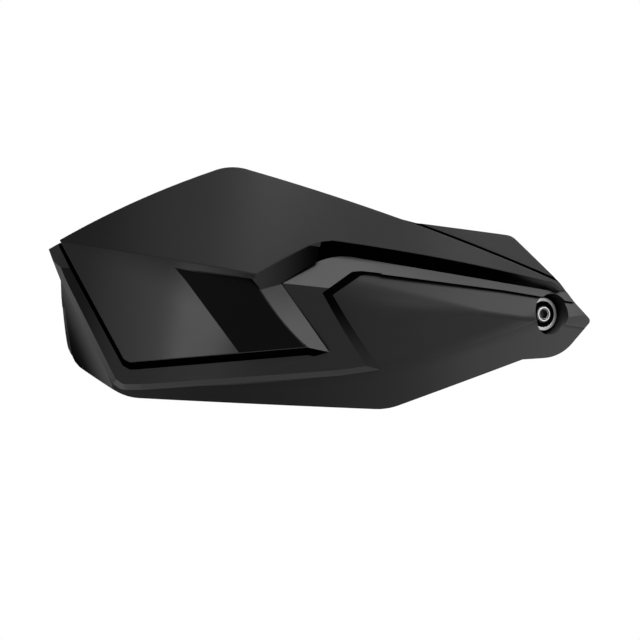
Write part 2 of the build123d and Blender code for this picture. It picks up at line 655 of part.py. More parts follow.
# Handlebar clamp: a body with the lug, and a cap held by two screws
clamp_plane = Plane(origin=(-clamp_side, 0, 0), x_dir=(0, 1, 0), z_dir=(1, 0, 0))
ear_depth = CLAMP_BODY_EAR + CLAMP_CAP_EAR
ears = Pos((CLAMP_CAP_EAR - CLAMP_BODY_EAR) / 2, 0) * RectangleRounded(
    ear_depth, 2 * CLAMP_EAR_HALF, CLAMP_EAR_ROUND
)
lug = Pos(PIVOT_Y / 2, 0) * Rectangle(-PIVOT_Y, 2 * LUG_RADIUS) + Pos(PIVOT_Y, 0) * Circle(LUG_RADIUS)
clamp = extrude(clamp_plane * (Circle(CLAMP_RADIUS) + ears + lug), amount=CLAMP_LENGTH)
clamp = clamp - rod((-clamp_side, 0, 0), (1, 0, 0), BAR_RADIUS, CLAMP_LENGTH)
clamp = clamp - rod((-clamp_side, PIVOT_Y, 0), (1, 0, 0), m8_hole, CLAMP_LENGTH)
rear_half = Pos(0, CLAMP_SPLIT / 2, 0) * Box(
    REACH, REACH, REACH, align=(Align.CENTER, Align.MIN, Align.CENTER)
)
front_half = Pos(0, -CLAMP_SPLIT / 2, 0) * Box(
    REACH, REACH, REACH, align=(Align.CENTER, Align.MAX, Align.CENTER)
)
clamp_cap = clamp & rear_half
clamp_body = clamp & front_half
clamp_bolts = []
for z in (-CLAMP_BOLT_Z, CLAMP_BOLT_Z):
    seat = (0, CLAMP_CAP_EAR, z)
    clamp_cap = clamp_cap - rod(seat, ahead, m6_hole, ear_depth)
    clamp_body = clamp_body - rod(seat, ahead, M6_RADIUS, ear_depth)
    clamp_bolts.append(
        cap_screw(seat, ahead, M6_RADIUS, ear_depth, M6_CAP_RADIUS, M6_CAP_HEIGHT, M6_HEX)
    )

# Pivot bolt of the arm in the clamp lug
arm_outer_x = clamp_side + ARM_THICKNESS
pivot_washers = [
    tube((arm_outer_x, PIVOT_Y, 0), (1, 0, 0), M8_WASHER_RADIUS, m8_hole, M8_WASHER_THICKNESS),
    tube((-clamp_side, PIVOT_Y, 0), inboard, M8_WASHER_RADIUS, m8_hole, M8_WASHER_THICKNESS),
]
pivot_stack = CLAMP_LENGTH + ARM_THICKNESS + 2 * M8_WASHER_THICKNESS
pivot_bolt = button_screw(
    (arm_outer_x + M8_WASHER_THICKNESS, PIVOT_Y, 0), inboard, M8_RADIUS,
    pivot_stack + M8_NUT_HEIGHT + THREAD_END, M8_BUTTON_RADIUS, M8_BUTTON_HEIGHT, M8_HEX,
)
pivot_nut = lock_nut(
    (-clamp_side - M8_WASHER_THICKNESS, PIVOT_Y, 0), inboard, M8_NUT, M8_NUT_HEIGHT, M8_RADIUS
)

# Bar-end expander: sleeve and cone inside the tube, spacer, washer and bolt outside
plate_inner_x = ARM_PLATE_X - ARM_THICKNESS / 2
plate_outer_x = ARM_PLATE_X + ARM_THICKNESS / 2
bar_end_x = plate_inner_x - SPACER_LENGTH
sleeve_radius = BAR_BORE_RADIUS - SLEEVE_CLEARANCE
sleeve_end_x = bar_end_x - SLEEVE_LENGTH
cone_end_x = sleeve_end_x + CONE_REACH - CONE_LENGTH
expander_cone = Plane(origin=(cone_end_x, 0, 0), z_dir=(1, 0, 0)) * Cone(
    CONE_BIG_RADIUS, CONE_SMALL_RADIUS, CONE_LENGTH, align=(Align.CENTER, Align.CENTER, Align.MIN)
)
expander_sleeve = tube(
    (sleeve_end_x, 0, 0), (1, 0, 0), sleeve_radius, sleeve_radius - SLEEVE_WALL, SLEEVE_LENGTH
)
expander_sleeve = expander_sleeve - expander_cone
for angle in (45, 135):
    slot = Pos(sleeve_end_x, 0, 0) * Rot(angle, 0, 0) * Box(
        SLEEVE_SLOT_LENGTH, SLEEVE_SLOT, REACH, align=(Align.MIN, Align.CENTER, Align.CENTER)
    )
    expander_sleeve = expander_sleeve - slot
expander_cone = expander_cone - rod((cone_end_x, 0, 0), (1, 0, 0), M8_RADIUS, CONE_LENGTH)
bar_end_spacer = tube((bar_end_x, 0, 0), (1, 0, 0), SPACER_RADIUS, m8_hole, SPACER_LENGTH)
bar_end_washer = tube((plate_outer_x, 0, 0), (1, 0, 0), M8_WASHER_RADIUS, m8_hole, M8_WASHER_THICKNESS)
bar_end_bolt = button_screw(
    (plate_outer_x + M8_WASHER_THICKNESS, 0, 0), inboard, M8_RADIUS,
    plate_outer_x + M8_WASHER_THICKNESS - cone_end_x + THREAD_END,
    M8_BUTTON_RADIUS, M8_BUTTON_HEIGHT, M8_HEX,
)

pieces = {
    "shield": shield,
    "deflector": deflector,
    "deflector_screws": deflector_screws,
    "deflector_washers": deflector_washers,
    "tip_bolt": tip_bolt,
    "tip_cup_washer": cup_washer,
    "tip_seal_washer": tip_seal,
    "tip_nut": tip_nut,
    "shield_bolts": shield_bolts,
    "shield_washers": shield_washers,
    "shield_nuts": shield_nuts,
    "support_arm": support_arm,
    "clamp_body": clamp_body,
    "clamp_cap": clamp_cap,
    "clamp_bolts": clamp_bolts,
    "pivot_bolt": pivot_bolt,
    "pivot_washers": pivot_washers,
    "pivot_nut": pivot_nut,
    "expander_sleeve": expander_sleeve,
    "expander_cone": expander_cone,
    "bar_end_spacer": bar_end_spacer,
    "bar_end_washer": bar_end_washer,
    "bar_end_bolt": bar_end_bolt,
}
for name, shape in pieces.items():
    if isinstance(shape, list):
        shape = Compound(children=shape)
    export_step(shape, f"parts/{name}.step")
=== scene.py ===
"""Dressed scene of a motorcycle hand guard: finishes, rounded edges, studio light and camera."""

from __future__ import annotations

import json
import logging
import math
from dataclasses import dataclass, replace
from enum import Enum

import bmesh
import bpy
import numpy as np
from mathutils import Matrix, Quaternion, Vector
from mathutils.bvhtree import BVHTree

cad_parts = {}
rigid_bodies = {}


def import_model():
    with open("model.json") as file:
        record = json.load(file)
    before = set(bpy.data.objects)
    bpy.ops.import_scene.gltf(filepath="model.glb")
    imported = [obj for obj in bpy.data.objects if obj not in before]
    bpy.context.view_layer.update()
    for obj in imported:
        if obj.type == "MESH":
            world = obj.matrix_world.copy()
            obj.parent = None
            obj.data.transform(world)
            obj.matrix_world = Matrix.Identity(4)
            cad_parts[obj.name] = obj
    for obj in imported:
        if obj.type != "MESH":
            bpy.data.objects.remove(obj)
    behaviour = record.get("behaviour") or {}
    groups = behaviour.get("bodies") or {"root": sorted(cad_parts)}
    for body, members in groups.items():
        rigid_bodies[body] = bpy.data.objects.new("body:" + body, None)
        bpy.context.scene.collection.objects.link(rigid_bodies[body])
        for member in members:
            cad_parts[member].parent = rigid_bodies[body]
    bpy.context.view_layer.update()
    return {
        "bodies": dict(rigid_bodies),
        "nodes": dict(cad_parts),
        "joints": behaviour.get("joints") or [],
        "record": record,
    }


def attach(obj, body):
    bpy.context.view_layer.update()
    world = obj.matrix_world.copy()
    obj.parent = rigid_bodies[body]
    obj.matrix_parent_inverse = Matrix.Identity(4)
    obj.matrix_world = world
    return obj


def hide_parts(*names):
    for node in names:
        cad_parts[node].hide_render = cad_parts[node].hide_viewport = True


log = logging.getLogger("hand_guard")

MM = 0.001
BODY = "root"

Triple = tuple[float, float, float]
Places = tuple[tuple[float, float], ...]
Grid = bmesh.types.BMesh
Layer = bmesh.types.BMLayerItem

OUTBOARD: Triple = (1.0, 0.0, 0.0)
INBOARD: Triple = (-1.0, 0.0, 0.0)
REARWARD: Triple = (0.0, 1.0, 0.0)
UP: Triple = (0.0, 0.0, 1.0)


def added(name: str, data: bpy.types.ID) -> bpy.types.Object:
    """Add an object to the scene.

    Args:
        name: Its name.
        data: Its mesh, lamp or camera.

    Returns:
        The object.
    """
    made = bpy.data.objects.new(name, data)
    bpy.context.scene.collection.objects.link(made)
    return made


class Expr:
    """A shader value that takes part in Python arithmetic."""

    def __init__(self, shader: Shader, socket: bpy.types.NodeSocket | None) -> None:
        """Wrap an output socket of a shader."""
        self.shader = shader
        self.socket = socket

    def math(self, operation: str, *others: Expr | float) -> Expr:
        """Add one Math node that starts from this value.

        Args:
            operation: The Math node's operation.
            others: The values of its further inputs.

        Returns:
            The node's result.
        """
        inputs: dict[str | int, object] = {0: self}
        inputs.update(enumerate(others, start=1))
        return self.shader.node("ShaderNodeMath", {"operation": operation}, inputs)

    def after(self, operation: str, number: float) -> Expr:
        """Add a Math node with a plain number before this value."""
        return self.shader.node("ShaderNodeMath", {"operation": operation}, {0: number, 1: self})

    def __add__(self, other: Expr | float) -> Expr:
        """Sum."""
        return self.math("ADD", other)

    def __radd__(self, other: float) -> Expr:
        """Sum with a number on the left."""
        return self.after("ADD", other)

    def __sub__(self, other: Expr | float) -> Expr:
        """Difference."""
        return self.math("SUBTRACT", other)

    def __rsub__(self, other: float) -> Expr:
        """Difference from a number on the left."""
        return self.after("SUBTRACT", other)

    def __mul__(self, other: Expr | float) -> Expr:
        """Product."""
        return self.math("MULTIPLY", other)

    def __rmul__(self, other: float) -> Expr:
        """Product with a number on the left."""
        return self.after("MULTIPLY", other)

    def __truediv__(self, other: Expr | float) -> Expr:
        """Quotient."""
        return self.math("DIVIDE", other)

    def __abs__(self) -> Expr:
        """Size without the sign."""
        return self.math("ABSOLUTE")

    def smaller(self, other: Expr | float) -> Expr:
        """The smaller of two values."""
        return self.math("MINIMUM", other)

    def larger(self, other: Expr | float) -> Expr:
        """The larger of two values."""
        return self.math("MAXIMUM", other)

    def step(self, low: float, high: float) -> Expr:
        """Rise smoothly from 0 at a low value to 1 at a high one.

        Args:
            low: Where the rise starts.
            high: Where it ends.

        Returns:
            A mask between 0 and 1.
        """
        settings = {"interpolation_type": "SMOOTHSTEP"}
        inputs = {"Value": self, "From Min": low, "From Max": high, "To Min": 0.0, "To Max": 1.0}
        return self.shader.node("ShaderNodeMapRange", settings, inputs)


class Shader:
    """A node tree under construction, of a material or of the world."""

    def __init__(self, owner: bpy.types.Material | bpy.types.World) -> None:
        """Start with an empty tree.

        Args:
            owner: The material or world that the tree belongs to.
        """
        self.owner = owner
        owner.use_nodes = True
        self.tree = owner.node_tree
        self.tree.nodes.clear()

    @classmethod
    def material(cls, name: str) -> Shader:
        """Start a new material of that name."""
        return cls(bpy.data.materials.new(name))

    def node(
        self,
        kind: str,
        settings: dict[str, object] | None = None,
        inputs: dict[str | int, object] | None = None,
        output: str | int = 0,
    ) -> Expr:
        """Add a node.

        Args:
            kind: The node's type.
            settings: Its own settings, set first.
            inputs: Values or links of its sockets, by name or place.
            output: The output that is wanted.

        Returns:
            The wanted output, if the node has any.
        """
        made = self.tree.nodes.new(kind)
        for key, value in (settings or {}).items():
            setattr(made, key, value)
        for key, value in (inputs or {}).items():
            if isinstance(value, Expr):
                self.tree.links.new(value.socket, made.inputs[key])
            else:
                made.inputs[key].default_value = value
        return Expr(self, made.outputs[output] if made.outputs else None)

    def coordinates(self) -> Expr:
        """Object coordinates, in metres."""
        return self.node("ShaderNodeTexCoord", output="Object")

    def along(self, direction: Triple) -> Expr:
        """The way along a direction from the origin.

        Args:
            direction: The direction, in Object coordinates.

        Returns:
            The way in millimetres.
        """
        inputs = {0: self.coordinates(), 1: direction}
        way = self.node("ShaderNodeVectorMath", {"operation": "DOT_PRODUCT"}, inputs, output="Value")
        return way * (1.0 / MM)

    def noise(self, size_mm: float, detail: float = 2.0, stretch: Triple = (1.0, 1.0, 1.0)) -> Expr:
        """A noise field.

        Args:
            size_mm: The size of its features.
            detail: How many finer layers it has.
            stretch: Scale of the coordinates along each axis.

        Returns:
            The noise, about 0.5 on average.
        """
        place = self.node("ShaderNodeMapping", inputs={"Vector": self.coordinates(), "Scale": stretch})
        inputs = {"Vector": place, "Scale": 1.0 / (size_mm * MM), "Detail": detail}
        return self.node("ShaderNodeTexNoise", inputs=inputs)

    def blend(self, factor: Expr, low: Triple, high: Triple) -> Expr:
        """A colour between two colours."""
        inputs = {0: factor, 6: (*low, 1.0), 7: (*high, 1.0)}
        return self.node("ShaderNodeMix", {"data_type": "RGBA"}, inputs, output=2)

    def bump(self, height_mm: Expr) -> Expr:
        """A surface direction disturbed by a height field in millimetres."""
        inputs = {"Height": height_mm, "Strength": 1.0, "Distance": MM}
        return self.node("ShaderNodeBump", inputs=inputs)

    def openness(self, reach_mm: float, low: float, high: float) -> Expr:
        """How open a place is, from 0 deep in a gap to 1 on a free face; materials use it to paint shade
        into gaps.

        Args:
            reach_mm: How far away other walls count.
            low: The open share of the view at which the mask starts to rise.
            high: The open share at which it is full.

        Returns:
            A mask between 0 and 1.
        """
        inputs = {"Distance": reach_mm * MM}
        share = self.node("ShaderNodeAmbientOcclusion", {"samples": 8}, inputs, output="AO")
        return share.step(low, high)

    def glancing(self) -> Expr:
        """0 where the surface is met squarely and 1 where it is met along its face."""
        return self.node("ShaderNodeLayerWeight", inputs={"Blend": 0.5}, output="Facing")

    def seen(self) -> Expr:
        """1 for the eye, 0 for anything else."""
        return self.node("ShaderNodeLightPath", output="Is Camera Ray")

    def mirrored(self) -> Expr:
        """1 in reflections and through glass, 0 for anything else."""
        mirror = self.node("ShaderNodeLightPath", output="Is Glossy Ray")
        return mirror.larger(self.node("ShaderNodeLightPath", output="Is Transmission Ray"))

    def surface(self, **values: object) -> Expr:
        """A Principled surface; an underscore in a socket's name stands for a space."""
        inputs = {key.replace("_", " "): value for key, value in values.items()}
        return self.node("ShaderNodeBsdfPrincipled", inputs=inputs)

    def layered(self, mask: Expr, under: Expr, over: Expr) -> Expr:
        """A surface that gives way to another where a mask is 1."""
        return self.node("ShaderNodeMixShader", inputs={0: mask, 1: under, 2: over})

    def close(self, surface: Expr) -> bpy.types.Material | bpy.types.World:
        """Give the tree its output.

        Args:
            surface: The finished surface or background.

        Returns:
            The material or world.
        """
        is_world = isinstance(self.owner, bpy.types.World)
        kind = "ShaderNodeOutputWorld" if is_world else "ShaderNodeOutputMaterial"
        self.node(kind, inputs={"Surface": surface})
        return self.owner


@dataclass(frozen=True)
class MouldedPlastic:
    """Black moulded plastic with a fine spark-eroded grain, with painted shade that makes it dead black
    deep in gaps and at glancing angles.
    """

    name: str
    dark: float = 0.004
    light: float = 0.006
    roughness: float = 0.32
    specular: float = 0.21
    grain_mm: float = 0.35
    grain_depth_mm: float = 0.005
    gap_mm: float = 12.0
    gap_low: float = 0.48
    gap_high: float = 0.84
    # Painted shade along the outlines: how far the plastic turns dead black where it is met at a glancing
    # angle.
    glancing_shade_share: float = 0.9
    glancing_shade_low: float = 0.42
    glancing_shade_high: float = 0.78
    cloud_mm: float = 24.0
    cloud_roughness: float = 0.06
    shade_tone: float = 0.001
    shade_roughness: float = 0.8

    def height_field(self, shader: Shader) -> Expr:
        """The height of the surface's own relief, in millimetres."""
        return self.grain_depth_mm * shader.noise(self.grain_mm)

    def free_field(self, shader: Shader) -> Expr:
        """1 on a free face and 0 deep in a gap, where shade is painted."""
        return shader.openness(self.gap_mm, self.gap_low, self.gap_high)

    def material(self) -> bpy.types.Material:
        """Build the material.

        Returns:
            The finished material.
        """
        shader = Shader.material(self.name)
        cloud = shader.noise(self.cloud_mm, detail=3.0)
        plastic = shader.surface(
            Base_Color=shader.blend(cloud, (self.dark,) * 3, (self.light,) * 3),
            Roughness=self.roughness - self.cloud_roughness / 2 + self.cloud_roughness * cloud,
            Specular_IOR_Level=self.specular,
            Normal=shader.bump(self.height_field(shader)),
        )
        # Painted shade: a dead black surface that takes over deep in gaps and at glancing angles.
        shade = shader.surface(
            Base_Color=(*(self.shade_tone,) * 3, 1.0),
            Roughness=self.shade_roughness,
            Specular_IOR_Level=0.0,
        )
        # Painted shade: dead black where the surface is met at a glancing angle, on top of the painted
        # shade in gaps.
        glancing_shade = shader.glancing().step(self.glancing_shade_low, self.glancing_shade_high)
        unshaded_share = self.free_field(shader) * (1.0 - self.glancing_shade_share * glancing_shade)
        return shader.close(shader.layered(unshaded_share, shade, plastic))


@dataclass(frozen=True)
class SoftCrease:
    """A rounded crease between two faces, along a bent line in front view, lengths in millimetres."""

    x: float
    z: float
    slope: float
    bend: float
    half_angle: float
    width: float
    narrowing: float
    least_width: float

    def lift(self, shader: Shader) -> Expr:
        """The height that turns the faces towards each other near the line.

        Args:
            shader: The material's shader.

        Returns:
            The height in millimetres.
        """
        along = shader.along(OUTBOARD) - self.x
        away = abs(shader.along(UP) - self.z - along * (self.slope + self.bend * along))
        width = (self.width - self.narrowing * along).larger(self.least_width)
        share = (away / width).smaller(1.0)
        return math.tan(math.radians(self.half_angle)) * width * share * (1.0 - 0.5 * share)


@dataclass(frozen=True)
class WingPlastic(MouldedPlastic):
    """The shield's plastic on the wing, with painted shade that makes it dead black in the slot below the
    deflector's blade.
    """

    blade_x: float = 110.0
    blade_z: float = 54.0
    blade_slope: float = -0.273
    blade_blur: float = 1.0
    slot_fade: float = 208.0
    slot_end: float = 230.0

    def free_field(self, shader: Shader) -> Expr:
        """1 on a free face and 0 deep in a gap or below the blade, where shade is painted.

        Args:
            shader: The material's shader.

        Returns:
            A mask between 0 and 1.
        """
        # Painted shade: below the blade's line and short of the slot's end the wing goes dead black.
        blade = self.blade_z + self.blade_slope * (shader.along(OUTBOARD) - self.blade_x)
        above = (shader.along(UP) - blade).step(-self.blade_blur, self.blade_blur)
        past = shader.along(OUTBOARD).step(self.slot_fade, self.slot_end)
        return super().free_field(shader) * above.larger(past)


@dataclass(frozen=True)
class PaintedShadeRamp:
    """A ramp of painted shade along a direction, lengths in millimetres."""

    towards: Triple
    start: float
    end: float
    start_share: float = 1.0
    end_share: float = 0.0

    def share(self, shader: Shader) -> Expr:
        """The share of the surface that is left free of painted shade."""
        change = self.end_share - self.start_share
        return self.start_share + change * shader.along(self.towards).step(self.start, self.end)


@dataclass(frozen=True)
class PaintedShadePlastic(MouldedPlastic):
    """Moulded plastic with painted shade that deepens along some directions."""

    shade_ramps: tuple[PaintedShadeRamp, ...] = ()
    counts_gaps: bool = False

    def free_field(self, shader: Shader) -> Expr:
        """1 on a free face and 0 where shade is painted."""
        # Painted shade: each ramp darkens the plastic towards dead black along its direction.
        share = math.prod(fade.share(shader) for fade in self.shade_ramps)
        return share * super().free_field(shader) if self.counts_gaps else share


@dataclass(frozen=True)
class PanelPlastic(PaintedShadePlastic):
    """The shield's plastic on the faces of the spear, which run softly into each other."""

    creases: tuple[SoftCrease, ...] = (
        SoftCrease(
            x=110.0, z=10.8, slope=-0.107, bend=-0.00014,
            half_angle=13.0, width=13.0, narrowing=0.125, least_width=2.0,
        ),
        SoftCrease(
            x=130.0, z=-32.0, slope=0.161, bend=0.00128,
            half_angle=10.0, width=6.0, narrowing=0.0, least_width=6.0,
        ),
    )

    def height_field(self, shader: Shader) -> Expr:
        """The height of the surface's own relief, in millimetres."""
        return super().height_field(shader) + sum(crease.lift(shader) for crease in self.creases)


@dataclass(frozen=True)
class Metal:
    """Bare or plated metal with fine working marks, with painted shade that makes it darker down in
    recesses.
    """

    name: str
    tone: Triple = (0.6, 0.6, 0.6)
    roughness: float = 0.3
    mark_mm: float = 0.4
    stretch: Triple = (1.0, 1.0, 1.0)
    mark_depth_mm: float = 0.0024
    recess_share: float = 0.1
    recess_mm: float = 4.0
    recess_low: float = 0.4
    recess_high: float = 0.9
    cloud_mm: float = 9.0
    cloud_share: float = 0.14
    cloud_roughness: float = 0.08
    mark_roughness: float = 0.06

    def free_field(self, shader: Shader) -> Expr:
        """1 on a free face and 0 deep in a recess, where shade is painted."""
        return shader.openness(self.recess_mm, self.recess_low, self.recess_high)

    def material(self) -> bpy.types.Material:
        """Build the material.

        Returns:
            The finished material.
        """
        shader = Shader.material(self.name)
        marks = shader.noise(self.mark_mm, detail=3.0, stretch=self.stretch)
        cloud = shader.noise(self.cloud_mm, detail=3.0)
        # Painted shade: deep in recesses the tone falls to a small share of itself.
        bright = self.free_field(shader) * (1.0 - self.cloud_share + self.cloud_share * cloud)
        recess = tuple(self.recess_share * part for part in self.tone)
        smoothest = self.roughness - (self.cloud_roughness + self.mark_roughness) / 2
        metal = shader.surface(
            Base_Color=shader.blend(bright, recess, self.tone),
            Metallic=1.0,
            Roughness=smoothest + self.cloud_roughness * cloud + self.mark_roughness * marks,
            Normal=shader.bump(self.mark_depth_mm * marks),
        )
        return shader.close(metal)


@dataclass(frozen=True)
class SocketMetal(Metal):
    """Plated metal on the top of a socket head, with painted shade round the socket and its own tone at
    the rim.
    """

    centre: Triple = (0.0, 0.0, 0.0)
    facing: Triple = (0.0, 0.0, 1.0)
    dark_radius: float = 3.3
    rim_radius: float = 3.7

    def free_field(self, shader: Shader) -> Expr:
        """1 at the rim of the head and 0 round its socket, where shade is painted.

        Args:
            shader: The material's shader.

        Returns:
            A mask between 0 and 1.
        """
        x = shader.along(OUTBOARD) - self.centre[0]
        y = shader.along(REARWARD) - self.centre[1]
        z = shader.along(UP) - self.centre[2]
        along = x * self.facing[0] + y * self.facing[1] + z * self.facing[2]
        away = (x * x + y * y + z * z - along * along).math("SQRT")
        return away.step(self.dark_radius, self.rim_radius)


@dataclass(frozen=True)
class Coating:
    """A dark coat on metal, anodised or oxidised."""

    name: str
    tone: Triple = (0.016, 0.016, 0.018)
    roughness: float = 0.36
    specular: float = 0.4
    blast_mm: float = 0.3
    blast_depth_mm: float = 0.0056
    cloud_mm: float = 12.0
    cloud_roughness: float = 0.1
    worn_share: float = 1.6

    def material(self) -> bpy.types.Material:
        """Build the material.

        Returns:
            The finished material.
        """
        shader = Shader.material(self.name)
        blast = shader.noise(self.blast_mm)
        cloud = shader.noise(self.cloud_mm, detail=3.0)
        worn = tuple(self.worn_share * part for part in self.tone)
        coat = shader.surface(
            Base_Color=shader.blend(cloud, self.tone, worn),
            Roughness=self.roughness - self.cloud_roughness / 2 + self.cloud_roughness * cloud,
            Specular_IOR_Level=self.specular,
            Normal=shader.bump(self.blast_depth_mm * blast),
        )
        return shader.close(coat)


Finish = MouldedPlastic | Metal | Coating


class Slot(Enum):
    """The record's material slots."""

    SHIELD = "shield_plastic"
    DEFLECTOR = "deflector_plastic"
    ARM = "arm_aluminium"
    CLAMP = "clamp_aluminium"
    CUP = "cup_aluminium"
    SEAL = "seal_nylon"
    ZINC = "zinc_steel"
    BLACK = "black_steel"
    EXPANDER = "expander_aluminium"

    def finish(self) -> Finish:
        """The finish of this slot.

        Returns:
            The finish.
        """
        # Painted shade: the deflector's visor darkens towards its inboard end.
        visor_shade_ramp = PaintedShadeRamp(OUTBOARD, -44.0, 28.0, 0.6, 1.0)
        finishes: dict[Slot, Finish] = {
            Slot.SHIELD: MouldedPlastic("shield_grain"),
            Slot.DEFLECTOR: PaintedShadePlastic(
                "deflector_grain_painted_shade", roughness=0.3, shade_ramps=(visor_shade_ramp,), counts_gaps=True
            ),
            Slot.ARM: Metal(
                "drawn_aluminium", (0.54, 0.545, 0.56), 0.44, mark_mm=0.5, stretch=(0.05, 0.05, 1.0)
            ),
            Slot.CLAMP: Coating("black_anodised"),
            Slot.CUP: Metal("turned_aluminium", (0.46, 0.465, 0.475), 0.34),
            Slot.SEAL: MouldedPlastic("black_nylon", specular=0.09),
            Slot.ZINC: Metal(
                "zinc_plate", (0.54, 0.54, 0.53), 0.4, recess_share=0.04, recess_low=0.66, recess_high=0.98
            ),
            Slot.BLACK: Coating("black_oxide", (0.014, 0.014, 0.016), 0.34),
            Slot.EXPANDER: Metal("plain_turned", (0.54, 0.54, 0.555), 0.38),
        }
        return finishes[self]


@dataclass
class Patch:
    """One smooth face of a solid, found again from its triangles: a plane, a cylinder or neither."""

    area: float
    is_round: bool
    across: Vector
    along: Vector
    middle: tuple[float, float]
    sign: float
    facing: Vector | None

    @classmethod
    def fit(
        cls,
        faces: list[bmesh.types.BMFace],
        flat_spread: float = 1e-6,
        round_spread: float = 1e-4,
        round_error: float = 0.1 * MM,
    ) -> Patch:
        """Fit a plane or a cylinder to a set of faces.

        Args:
            faces: The triangles of the smooth face.
            flat_spread: The most that the directions of a plane may spread.
            round_spread: The most that those of a cylinder may spread along its axis.
            round_error: The most that the distances from a cylinder's axis may differ.

        Returns:
            The fitted face.
        """
        sizes = np.array([face.calc_area() for face in faces])
        normals = np.array([face.normal for face in faces])
        points = np.array([vert.co for face in faces for vert in face.verts])
        centres = np.array([face.calc_center_median() for face in faces])
        spread, axes = np.linalg.eigh((normals * sizes[:, None]).T @ normals / sizes.sum())
        across, along = axes[:, 1], axes[:, 2]
        x, y = points @ across, points @ along
        table = np.column_stack((2 * x, 2 * y, np.ones(len(x))))
        middle = np.linalg.lstsq(table, x * x + y * y, rcond=None)[0][:2]
        away = np.hypot(x - middle[0], y - middle[1])
        is_flat = spread[1] < flat_spread
        is_round = not is_flat and spread[0] < round_spread and np.ptp(away) < round_error
        outward = (centres @ across - middle[0]) * (normals @ across)
        outward += (centres @ along - middle[1]) * (normals @ along)
        facing = Vector((normals * sizes[:, None]).sum(axis=0)).normalized()
        return cls(
            area=float(sizes.sum()),
            is_round=bool(is_round),
            across=Vector(across),
            along=Vector(along),
            middle=(float(middle[0]), float(middle[1])),
            sign=1.0 if outward.sum() > 0 else -1.0,
            facing=facing if is_flat else None,
        )

    def direction(self, place: Vector, near: Vector) -> Vector:
        """The face's outward direction at a place.

        Args:
            place: A point on the face.
            near: The direction of the triangles there, for a face of neither kind.

        Returns:
            A unit vector.
        """
        if self.is_round:
            out = self.across * (place.dot(self.across) - self.middle[0])
            out += self.along * (place.dot(self.along) - self.middle[1])
            return (out * self.sign).normalized()
        return near if self.facing is None else self.facing


@dataclass(frozen=True)
class Accent:
    """Another finish for the faces that lie straight behind some front-view places, X and Z in mm."""

    finish: Finish
    places: Places
    start_y: float = -1000.0

    def numbers(self, surface: BVHTree, grid: Grid, layer: Layer) -> set[int]:
        """Find those faces.

        Args:
            surface: The solid's faces, ready to be searched.
            grid: The solid's merged copy.
            layer: Its layer of face numbers.

        Returns:
            The numbers of the faces.
        """
        found = set()
        for x, z in self.places:
            hit = surface.ray_cast(Vector((x, self.start_y, z)) * MM, Vector(REARWARD))[2]
            found.add(grid.faces[hit][layer])
        return found


